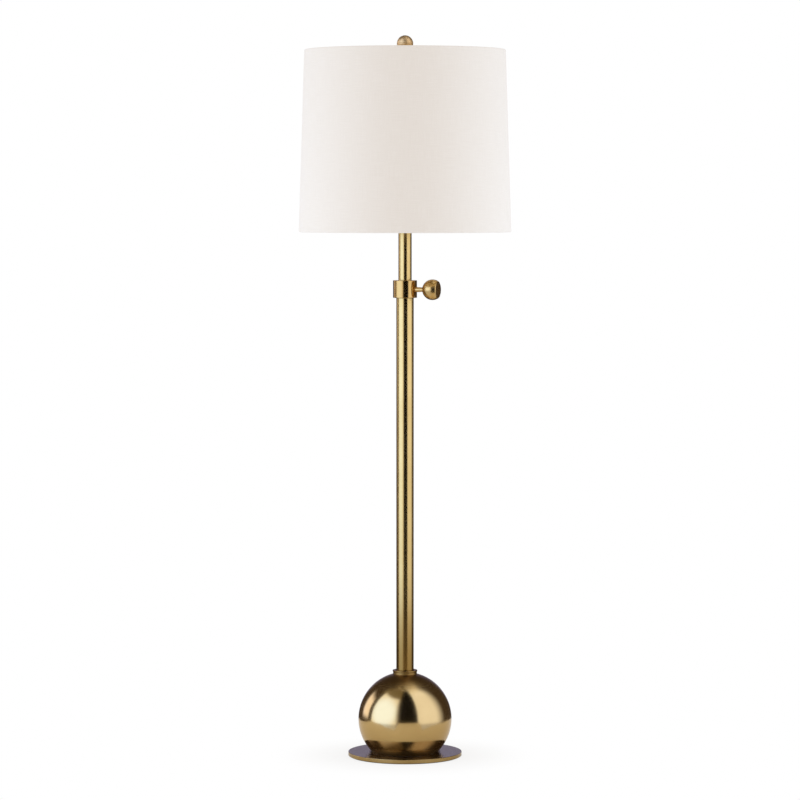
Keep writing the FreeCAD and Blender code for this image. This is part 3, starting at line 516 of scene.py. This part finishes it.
def brass(
    name,
    light,
    dark,
    roughness,
    rings=1500.0,
    wear=0.5,
    edge=0.0004,
    grime_and_shade=0.6,
    reach=0.006,
    flecks=0.15,
    ripple=0.0,
):
    """A brass finish: two tones of gold, polished edges, corners darkened by grime and painted shade, and a ring
    grain.
    """
    material, tree, shader = finish_tree(name)
    tones = placed(tree, CLOUDING, Light_Tone=(*light, 1), Dark_Tone=(*dark, 1), Cloud_Scale=9.0, Flecks=flecks)
    grain = placed(tree, TURNING_GRAIN, Rings_per_Metre=rings).outputs["Grain"]
    edges = placed(tree, WORN_EDGE, Width=edge, Amount=wear).outputs["Mask"]
    corners = placed(tree, GRIME_AND_SHADE, Reach=reach, Amount=grime_and_shade).outputs["Mask"]
    pale = (*[min(1.0, WORN_PALER * x) for x in light], 1)
    brown = (*[GRIME_AND_SHADE_DARKER * x for x in dark], 1)
    colour = mixed(tree, edges, tones.outputs["Colour"], pale)
    # Painted shade with grime: corners and recesses go dark brown.
    colour = mixed(tree, corners, colour, brown)
    tree.links.new(colour, shader.inputs["Base Color"])
    shader.inputs["Metallic"].default_value = 1.0
    rough = between(tree, grain, *GRAIN_RANGE, *[share * roughness for share in GRAIN_ROUGHNESS])
    rough = result_of(tree, "ADD", rough, result_of(tree, "MULTIPLY", corners, GRIME_ROUGHER))
    tree.links.new(rough, shader.inputs["Roughness"])
    height, depth = grain, GRAIN_DEPTH
    if ripple:
        height = noise_at(tree, place_on(tree), ripple, 1.0)
        depth = RIPPLE_STEEPNESS / ripple
    bump = put(tree, "ShaderNodeBump", {"Height": height, "Distance": depth, "Strength": 0.5})
    tree.links.new(bump.outputs["Normal"], shader.inputs["Normal"])
    return material


FINISHES = {
    "aged_brass": brass("aged_brass", (0.62, 0.43, 0.175), (0.55, 0.37, 0.145), 0.15, reach=0.02, grime_and_shade=0.8),
    "mast_brass": brass(
        "mast_brass", (0.66, 0.450, 0.155), (0.58, 0.380, 0.120), 0.20, flecks=0.05, ripple=14.0
    ),
    "clamp_brass": brass(
        "clamp_brass", (0.68, 0.435, 0.150), (0.50, 0.290, 0.080), 0.17, grime_and_shade=0.9, reach=0.008, ripple=60.0
    ),
    "plate_brass": brass("plate_brass", (0.46, 0.315, 0.120), (0.38, 0.255, 0.095), 0.20),
    "finial_brass": brass("finial_brass", (0.74, 0.480, 0.200), (0.60, 0.370, 0.145), 0.50, flecks=0.5, wear=0.2),
    "turned_brass": brass("turned_brass", (0.74, 0.56, 0.28), (0.62, 0.45, 0.20), 0.24, wear=0.3),
    "holder_brass": brass("holder_brass", (0.80, 0.63, 0.33), (0.72, 0.54, 0.26), 0.20, rings=900.0, wear=0.3),
}
print("brass finishes:", ", ".join(FINISHES))

# %% [markdown]
# Some of these finishes change over their piece. The crown of the ball and the foot of the mast are painted darker
# towards the neck: this is painted shade. The plate's face keeps its dark toning with fine specks. The thumbscrew's
# knob is duller than the collar, from being turned by hand. Each is one more mix in front of the Base Color or the
# Roughness, by height, by which way the surface looks, or by how far right the knob reaches.

# %% Paint shade at the neck, tone the plate's face and dull the knob
NECK_PAINTED_SHADE = (0.215, 0.105, 0.015, 1)
PLATE_FACE = (0.36, 0.255, 0.145, 1)
PLATE_SPECK = (0.60, 0.53, 0.46, 1)
SPECK_SCALE = 520.0
SPECK_RANGE = (0.52, 0.70)
SPECK_SHARE = 0.6
FACE_LOOKS_UP = (0.75, 0.97)


def before_input(material, label, make):
    """Puts one more step in front of a shader's input; make gets the tree and the socket so far."""
    tree = material.node_tree
    shader = next(n for n in tree.nodes if n.type == "BSDF_PRINCIPLED")
    link = shader.inputs[label].links[0]
    so_far = link.from_socket
    tree.links.remove(link)
    tree.links.new(make(tree, so_far), shader.inputs[label])


def toned(axis, low, high, share):
    """A step of painted shade: it goes over to a dark colour as the place on the piece goes from low to high, in
    metres.
    """
    return lambda tree, colour: mixed(
        tree, between(tree, parts_of(tree, place_on(tree))[axis], low, high, 0.0, share), colour, NECK_PAINTED_SHADE
    )


def duller(axis, low, high, amount):
    """A step that adds roughness as the place on the piece goes from low to high, in metres."""
    return lambda tree, rough: result_of(
        tree, "ADD", rough, between(tree, parts_of(tree, place_on(tree))[axis], low, high, 0.0, amount)
    )


def dark_plate_face(tree, colour):
    """The plate's upper face in its dark tone with paler specks; its rim keeps the colour so far."""
    up = parts_of(tree, put(tree, "ShaderNodeNewGeometry").outputs["Normal"])["Z"]
    specks = noise_at(tree, place_on(tree), SPECK_SCALE, 3.0)
    face = mixed(tree, between(tree, specks, *SPECK_RANGE, 0.0, SPECK_SHARE), PLATE_FACE, PLATE_SPECK)
    return mixed(tree, between(tree, up, *FACE_LOOKS_UP), colour, face)


# Painted shade: the foot of the mast and the crown of the ball go darker towards the neck.
before_input(FINISHES["mast_brass"], "Base Color", toned("Z", 0.40, 0.16, 0.86))
before_input(FINISHES["aged_brass"], "Base Color", toned("Z", 0.128, 0.152, 0.82))
before_input(FINISHES["aged_brass"], "Roughness", duller("Z", 0.126, 0.150, 0.16))
before_input(FINISHES["plate_brass"], "Base Color", dark_plate_face)
before_input(FINISHES["clamp_brass"], "Roughness", duller("X", 0.030, 0.036, 0.10))
print("toned: the neck, the plate's face, the knob")

# %% [markdown]
# ## Steel, iron and thin metal
# The washer, nut and lamp pipe are zinc plated steel, bluish and matt. The weight in the ball is cast iron, nearly
# black and grainy from the sand of its mould. The bulb's cap and the screw shell are rolled aluminium, and the
# shade's frame is wire with a thin brass colour.

# %% Make the other metals
PLAIN_GRAIN_RANGE = (0.3, 0.7)
DIRT_AND_SHADE_DARKER = 0.4


def plain_metal(name, light, dark, roughness, metallic=1.0, rings=1200.0, relief=0.00001):
    """A metal without an aged finish: clouded tone, ring grain and a little dirt with painted shade in the corners."""
    material, tree, shader = finish_tree(name)
    tones = placed(tree, CLOUDING, Light_Tone=(*light, 1), Dark_Tone=(*dark, 1), Cloud_Scale=60.0, Flecks=0.35)
    grain = placed(tree, TURNING_GRAIN, Rings_per_Metre=rings).outputs["Grain"]
    corners = placed(tree, GRIME_AND_SHADE, Reach=0.003, Amount=0.5).outputs["Mask"]
    # Painted shade with a little dirt: corners go darker.
    colour = mixed(tree, corners, tones.outputs["Colour"], (*[DIRT_AND_SHADE_DARKER * x for x in dark], 1))
    tree.links.new(colour, shader.inputs["Base Color"])
    shader.inputs["Metallic"].default_value = metallic
    rough = between(tree, grain, *PLAIN_GRAIN_RANGE, *[share * roughness for share in GRAIN_ROUGHNESS])
    tree.links.new(rough, shader.inputs["Roughness"])
    height = result_of(tree, "ADD", grain, tones.outputs["Fleck Mask"])
    bump = put(tree, "ShaderNodeBump", {"Height": height, "Distance": relief, "Strength": 0.6})
    tree.links.new(bump.outputs["Normal"], shader.inputs["Normal"])
    return material


FINISHES["steel"] = plain_metal("steel", (0.62, 0.62, 0.64), (0.48, 0.48, 0.50), 0.36)
FINISHES["iron"] = plain_metal("iron", (0.13, 0.125, 0.12), (0.06, 0.058, 0.055), 0.62, metallic=0.3, relief=0.0002)
FINISHES["shell_metal"] = plain_metal("shell_metal", (0.80, 0.79, 0.76), (0.66, 0.65, 0.62), 0.28)
FINISHES["frame_metal"] = plain_metal("frame_metal", (0.66, 0.51, 0.26), (0.52, 0.38, 0.18), 0.30)
print("other metals: steel, iron, shell_metal, frame_metal")

# %% [markdown]
# ## Plastics, card and felt
# Moulded plastic has a soft sheen with a fine orange-peel skin, so its bump is a small smooth noise. The card sleeve
# in the lampholder is brown and fibrous. Felt is a mat of pressed wool: it has no gloss at all, and its look comes
# from a strong fibre bump and a sheen at the edges, where single fibres catch the light.

# %% Make the plastics, card and felt
SOFT_EDGE = 0.8 * MM
SOFT_PALER = 1.3
FELT_SHEEN = 0.3


def soft_finish(name, light, dark, roughness, fibre_scale, relief, sheen=0.0, flecks=0.2):
    """A non-metal: clouded tone and a bump made of fine noise."""
    material, tree, shader = finish_tree(name)
    inputs = {"Light_Tone": (*light, 1), "Dark_Tone": (*dark, 1), "Fleck_Scale": fibre_scale, "Flecks": flecks}
    tones = placed(tree, CLOUDING, Cloud_Scale=40.0, **inputs)
    edges = placed(tree, WORN_EDGE, Width=SOFT_EDGE, Amount=0.4).outputs["Mask"]
    colour = mixed(tree, edges, tones.outputs["Colour"], (*[min(1.0, SOFT_PALER * x) for x in light], 1))
    tree.links.new(colour, shader.inputs["Base Color"])
    rough = between(tree, tones.outputs["Clouds"], 0.0, 1.0, 0.9 * roughness, min(1.0, 1.1 * roughness))
    tree.links.new(rough, shader.inputs["Roughness"])
    fibres = noise_at(tree, place_on(tree), fibre_scale, 4.0)
    bump = put(tree, "ShaderNodeBump", {"Height": fibres, "Distance": relief, "Strength": 0.5})
    tree.links.new(bump.outputs["Normal"], shader.inputs["Normal"])
    shader.inputs["Sheen Weight"].default_value = sheen
    return material


SOFT_FINISHES = {
    # light tone, dark tone, roughness, fibre scale, depth of the bump
    "felt": ((0.060, 0.058, 0.055), (0.030, 0.029, 0.028), 0.95, 1400.0, 0.4 * MM),
    "bush_plastic": ((0.050, 0.048, 0.046), (0.035, 0.034, 0.033), 0.45, 700.0, 0.03 * MM),
    "slider_plastic": ((0.84, 0.82, 0.76), (0.78, 0.75, 0.68), 0.40, 600.0, 0.03 * MM),
    "core_plastic": ((0.035, 0.030, 0.028), (0.022, 0.019, 0.018), 0.22, 500.0, 0.02 * MM),
    "card": ((0.40, 0.29, 0.19), (0.31, 0.22, 0.14), 0.85, 1100.0, 0.1 * MM),
}
for name, values in SOFT_FINISHES.items():
    FINISHES[name] = soft_finish(name, *values, sheen=FELT_SHEEN if name == "felt" else 0.0)
print("soft finishes:", ", ".join(SOFT_FINISHES))

# %% [markdown]
# ## The bulb's glass
# A frosted bulb is clear glass with an etched inner face. Seen unlit it is milky white with a soft gloss, and a real
# glass shader would only add noise behind the shade. A white body with a smooth clear coat gives the same look.

# %% Make the bulb's glass
def frosted_glass():
    """Milky white with a smooth outer skin."""
    material, tree, shader = finish_tree("bulb_glass")
    tones = placed(
        tree,
        CLOUDING,
        Light_Tone=(0.93, 0.93, 0.91, 1),
        Dark_Tone=(0.87, 0.87, 0.85, 1),
        Cloud_Scale=25.0,
        Flecks=0.05,
    )
    tree.links.new(tones.outputs["Colour"], shader.inputs["Base Color"])
    shader.inputs["Roughness"].default_value = 0.35
    shader.inputs["Subsurface Weight"].default_value = 0.2
    shader.inputs["Coat Weight"].default_value = 0.8
    shader.inputs["Coat Roughness"].default_value = 0.06
    return material


FINISHES["bulb_glass"] = frosted_glass()
print("glass: bulb_glass")

# %% [markdown]
# ## Linen and its stiff backing
# The shade is off-white linen glued to clear-white styrene. Linen is known by its slubs: flax thread is uneven, so
# single threads swell over a few centimetres and run as faint stripes both ways. The weave itself is half a
# millimetre wide, and is drawn by arithmetic along the cloth: the distance round the shade and the height, each
# divided by the thread's pitch. Warp and weft pass over each other by turns, and the higher one shows. The hollows
# between the threads are painted darker, as painted shade. The tones are nearly neutral, because the even light is
# slightly warm.

# %% Make the linen
WEAVE_PITCH = 0.55 * MM
WEAVE_DEPTH = 0.12 * MM
BACKING_DEPTH = 0.02 * MM
HOLLOW_SHADE_DARKER = 0.75
HOLLOW_SHADE_SHARE = 0.14
SLUB_ACROSS = 0.55
SLUB_ALONG = 0.016
SLUB_RANGE = (0.38, 0.66)
SHADE_RADIUS = 0.198
LINEN_LIGHT = (0.915, 0.893, 0.866)
LINEN_DARK = (0.885, 0.860, 0.830)


def plain_weave_group():
    """Threads that pass over and under each other: their height, and slubs that run along single threads."""
    tree, given, result = effect_group(
        "plain_weave",
        [("Around", "value", 0.0), ("Up", "value", 0.0), ("Pitch", "value", WEAVE_PITCH)],
        [("Height", "value"), ("Slubs", "value")],
    )
    across = result_of(tree, "DIVIDE", given.outputs["Around"], given.outputs["Pitch"])
    along = result_of(tree, "DIVIDE", given.outputs["Up"], given.outputs["Pitch"])

    def thread(side, run):
        body = result_of(tree, "ABSOLUTE", result_of(tree, "SINE", result_of(tree, "MULTIPLY", side, math.pi)))
        turn = result_of(tree, "MULTIPLY", result_of(tree, "ADD", run, result_of(tree, "FLOOR", side)), math.pi)
        wave = result_of(tree, "MULTIPLY_ADD", result_of(tree, "SINE", turn), 0.5, 0.5)
        return result_of(tree, "MULTIPLY", body, wave)

    height = result_of(tree, "MAXIMUM", thread(across, along), thread(along, result_of(tree, "ADD", across, 0.5)))
    tree.links.new(height, result.inputs["Height"])

    def slub(fine, coarse):
        inputs = {
            "X": result_of(tree, "MULTIPLY", fine, SLUB_ACROSS),
            "Y": result_of(tree, "MULTIPLY", coarse, SLUB_ALONG),
        }
        return noise_at(tree, put(tree, "ShaderNodeCombineXYZ", inputs).outputs[0], 1.0, 2.0)

    both = result_of(tree, "MULTIPLY", result_of(tree, "ADD", slub(across, along), slub(along, across)), 0.5)
    tree.links.new(between(tree, both, *SLUB_RANGE), result.inputs["Slubs"])
    return tree


PLAIN_WEAVE = plain_weave_group()


def cloth_coordinates(tree):
    """Distance round the shade from the front, which meets itself at the back seam, and height."""
    place = parts_of(tree, place_on(tree))
    back = result_of(tree, "MULTIPLY", place["Y"], -1.0)
    angle = result_of(tree, "ARCTAN2", place["X"], back)
    return result_of(tree, "MULTIPLY", angle, SHADE_RADIUS), place["Z"]


def linen():
    """Off-white linen with slubs, a woven bump and painted shade in the weave's hollows."""
    material, tree, shader = finish_tree("shade_fabric")
    around, up = cloth_coordinates(tree)
    weave = placed(tree, PLAIN_WEAVE, Around=around, Up=up)
    colour = mixed(tree, weave.outputs["Slubs"], (*LINEN_DARK, 1), (*LINEN_LIGHT, 1))
    # Painted shade: the weave's hollows are darker than the threads.
    shade = between(tree, weave.outputs["Height"], 0.0, 1.0, HOLLOW_SHADE_SHARE, 0.0)
    colour = mixed(tree, shade, colour, (*[HOLLOW_SHADE_DARKER * x for x in LINEN_DARK], 1))
    tree.links.new(colour, shader.inputs["Base Color"])
    tree.links.new(between(tree, weave.outputs["Slubs"], 0.0, 1.0, 0.95, 0.85), shader.inputs["Roughness"])
    height = result_of(tree, "MULTIPLY_ADD", weave.outputs["Slubs"], 0.6, weave.outputs["Height"])
    bump = put(tree, "ShaderNodeBump", {"Height": height, "Distance": WEAVE_DEPTH, "Strength": 0.6})
    tree.links.new(bump.outputs["Normal"], shader.inputs["Normal"])
    shader.inputs["Sheen Weight"].default_value = 0.12
    shader.inputs["Specular IOR Level"].default_value = 0.25
    return material


def styrene():
    """The white plastic sheet that the cloth is glued to, with the weave showing through faintly."""
    material, tree, shader = finish_tree("shade_liner")
    around, up = cloth_coordinates(tree)
    weave = placed(tree, PLAIN_WEAVE, Around=around, Up=up)
    tones = placed(
        tree,
        CLOUDING,
        Light_Tone=(0.92, 0.91, 0.88, 1),
        Dark_Tone=(0.87, 0.86, 0.83, 1),
        Cloud_Scale=8.0,
        Flecks=0.0,
    )
    tree.links.new(tones.outputs["Colour"], shader.inputs["Base Color"])
    tree.links.new(between(tree, tones.outputs["Clouds"], 0.0, 1.0, 0.38, 0.5), shader.inputs["Roughness"])
    bump = put(tree, "ShaderNodeBump", {"Height": weave.outputs["Height"], "Distance": BACKING_DEPTH, "Strength": 0.3})
    tree.links.new(bump.outputs["Normal"], shader.inputs["Normal"])
    return material


FINISHES["shade_fabric"] = linen()
FINISHES["shade_liner"] = styrene()
print("cloth finishes: shade_fabric, shade_liner")

# %% [markdown]
# ## Dress the construction
# The record that comes with the construction says which finish each piece takes. A piece that keeps its machined
# shape only needs that finish in its own material slots.

# %% Give every piece its finish
def dress(piece, finish):
    """Puts a finish in a piece's own slots."""
    if not piece.material_slots:
        piece.data.materials.append(None)
    for slot in piece.material_slots:
        slot.link = "OBJECT"
        slot.material = FINISHES[finish]


slot_of = {row["node"]: row["material_slot"] for row in frame["record"]["subparts"]}
for name, piece in nodes.items():
    dress(piece, slot_of[name])
print(f"{len(nodes)} pieces dressed in {len(set(slot_of.values()))} finishes")

# %% [markdown]
# ## The shade's cloth
# The shade is a strip of linen glued to a stiff sheet, bent into a cone and closed with an overlapped seam at the
# back. At both ends the cloth is folded over a wire ring and glued down inside, where it is cut out round each arm of
# the frame. A cloth simulation would have nothing to do here, as the cloth can't sag, so the strip is built directly:
# one line across the cloth, from hem to hem, is carried round the lamp. The strip is single cloth with a real
# thickness from a Solidify modifier. The small things that tell cloth from metal are then real too: the soft roll
# over the ring, the dent where the ring ends, slight waves of tension, and the seam's step.

# %% Measure the shade's frame
CLOTH = 0.6 * MM
HEM = 9.0 * MM
HEM_FOLD = 5.3 * MM
SEAM_OVERLAP = 12.0 * MM
ROUND_STEPS = 720
ARM_BEARINGS = (90, 210, 330)
ARM_CUT = 3.2 * MM
CLOTH_PAST_RING = 1.3 * MM
LAP_GAP = 0.1 * MM
LAP_RISE = 4.0 * MM
LAP_IN_FOLDS = 0.4
HEM_STEPS = 4
SIDE_STEPS = 40
FOLD_POINTS = 10
CUT_POINTS = 9
SQUARENESS = 2.5
WAVE = 0.10 * MM
PUCKER, PUCKER_REACH = 0.16 * MM, 12.0 * MM
DENT, DENT_BELOW_EDGE, DENT_WIDTH = 0.22 * MM, 7.5 * MM, 1.6 * MM

shade_low, shade_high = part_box("shade_fabric")
ring_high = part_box("shade_top_ring")[1]
top_radius = ring_high.x + CLOTH_PAST_RING
bottom_radius = shade_high.x
print(f"shade {shade_high.z - shade_low.z:.3f} m tall, radius {top_radius:.4f} to {bottom_radius:.4f} m")

# %% Draw one line across the cloth
def roll(centre, radius, start, end, steps=12):
    """Points round a ring, squarer than a circle, as stiff cloth bends; angles in degrees from outside, upwards."""
    points = []
    for step in range(steps + 1):
        turn = math.radians(start + (end - start) * step / steps)
        squarer = (abs(math.cos(turn)) ** SQUARENESS + abs(math.sin(turn)) ** SQUARENESS) ** (-1 / SQUARENESS)
        points.append(centre + radius * squarer * Vector((math.cos(turn), math.sin(turn))))
    return points


def cloth_line():
    """Radius and height along the cloth's outer side: inner hem, lower roll, outside, upper roll, inner hem."""
    slope = (bottom_radius - top_radius) / (shade_high.z - shade_low.z)
    half = HEM_FOLD / 2
    low = Vector((bottom_radius - slope * half - half, shade_low.z + half))
    high = Vector((top_radius + slope * half - half, shade_high.z - half))
    hem_step = (HEM - half) / HEM_STEPS
    line = [Vector((low.x - half, shade_low.z + HEM - k * hem_step)) for k in range(HEM_STEPS)]
    line += roll(low, half, 180, 360)
    outside_low, outside_high = Vector((low.x + half, low.y)), Vector((high.x + half, high.y))
    line += [outside_low.lerp(outside_high, k / SIDE_STEPS) for k in range(1, SIDE_STEPS)]
    line += roll(high, half, 0, 180)
    line += [Vector((high.x - half, high.y - k * hem_step)) for k in range(1, HEM_STEPS + 1)]
    return line


line = cloth_line()
cut_length = sum((b - a).length for a, b in zip(line, line[1:]))
print(f"{len(line)} points across, {cut_length * 1000:.0f} mm of cloth from hem to hem")

# %% Carry the line round the lamp
def cloth_ease(angle, height, outside):
    """How far the cloth stands off its plain cone: waves of tension, the dent below each ring."""
    wave = noise.noise(Vector((6 * math.cos(angle), 6 * math.sin(angle), 9 * height)))
    pull = noise.noise(Vector((30 * math.cos(angle), 30 * math.sin(angle), 3.0)))
    near = min(abs(height - shade_high.z), abs(height - shade_low.z))
    dent = math.exp(-(((near - DENT_BELOW_EDGE) / DENT_WIDTH) ** 2)) if outside else 0.0
    pucker = math.exp(-near / PUCKER_REACH)
    return WAVE * wave + PUCKER * pull * pucker - DENT * dent


def near_arm(angle):
    """Whether an arm of the frame passes through the upper hem at this angle."""
    turns = [(angle - math.radians(bearing) + math.pi) % math.tau - math.pi for bearing in ARM_BEARINGS]
    return any(abs(turn) * top_radius < ARM_CUT for turn in turns)


def shade_cloth():
    """An open strip that overlaps itself at the back, with cuts for the frame's arms in its upper hem."""
    mean = (top_radius + bottom_radius) / 2
    sweep = math.tau + SEAM_OVERLAP / mean
    mesh = bmesh.new()
    columns = []
    for step in range(ROUND_STEPS + 1):
        turned = sweep * step / ROUND_STEPS
        angle = math.pi / 2 + 0.5 * SEAM_OVERLAP / mean - turned
        past = (turned - math.tau) * mean
        lap = (CLOTH + LAP_GAP) * min(1.0, max(0.0, past / LAP_RISE + 1.0)) ** 2
        column = []
        for index, point in enumerate(line):
            inner = point.x < mean - 0.5 * abs(top_radius - bottom_radius) - 2 * MM
            out = 1.0 if FOLD_POINTS < index < len(line) - FOLD_POINTS else LAP_IN_FOLDS
            radius = point.x + out * lap + cloth_ease(angle, point.y, not inner)
            column.append(mesh.verts.new((radius * math.cos(angle), radius * math.sin(angle), point.y)))
        columns.append((angle, column))
    upper_hem = len(line) - CUT_POINTS
    for (first_angle, first), (_, second) in zip(columns, columns[1:]):
        for index in range(len(line) - 1):
            if index >= upper_hem and near_arm(first_angle):
                continue
            mesh.faces.new((first[index], first[index + 1], second[index + 1], second[index]))
    bmesh.ops.delete(mesh, geom=[v for v in mesh.verts if not v.link_faces], context="VERTS")
    bmesh.ops.recalc_face_normals(mesh, faces=mesh.faces)
    for face in mesh.faces:
        face.smooth = True
    data = bpy.data.meshes.new("shade_cloth")
    mesh.to_mesh(data)
    mesh.free()
    piece = bpy.data.objects.new("shade_cloth", data)
    bpy.context.scene.collection.objects.link(piece)
    return piece


cloth = shade_cloth()
outermost = max(cloth.data.polygons, key=lambda f: Vector((f.center.x, f.center.y)).length)
if outermost.normal.dot(Vector((outermost.center.x, outermost.center.y, 0))) < 0:
    cloth.data.flip_normals()
thickness = cloth.modifiers.new("cloth_thickness", "SOLIDIFY")
thickness.thickness = CLOTH
thickness.offset = -1.0
cloth.data.materials.append(FINISHES["shade_fabric"])
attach(cloth, "upper")
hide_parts("shade_fabric")
print(f"cloth of {len(cloth.data.polygons)} faces")
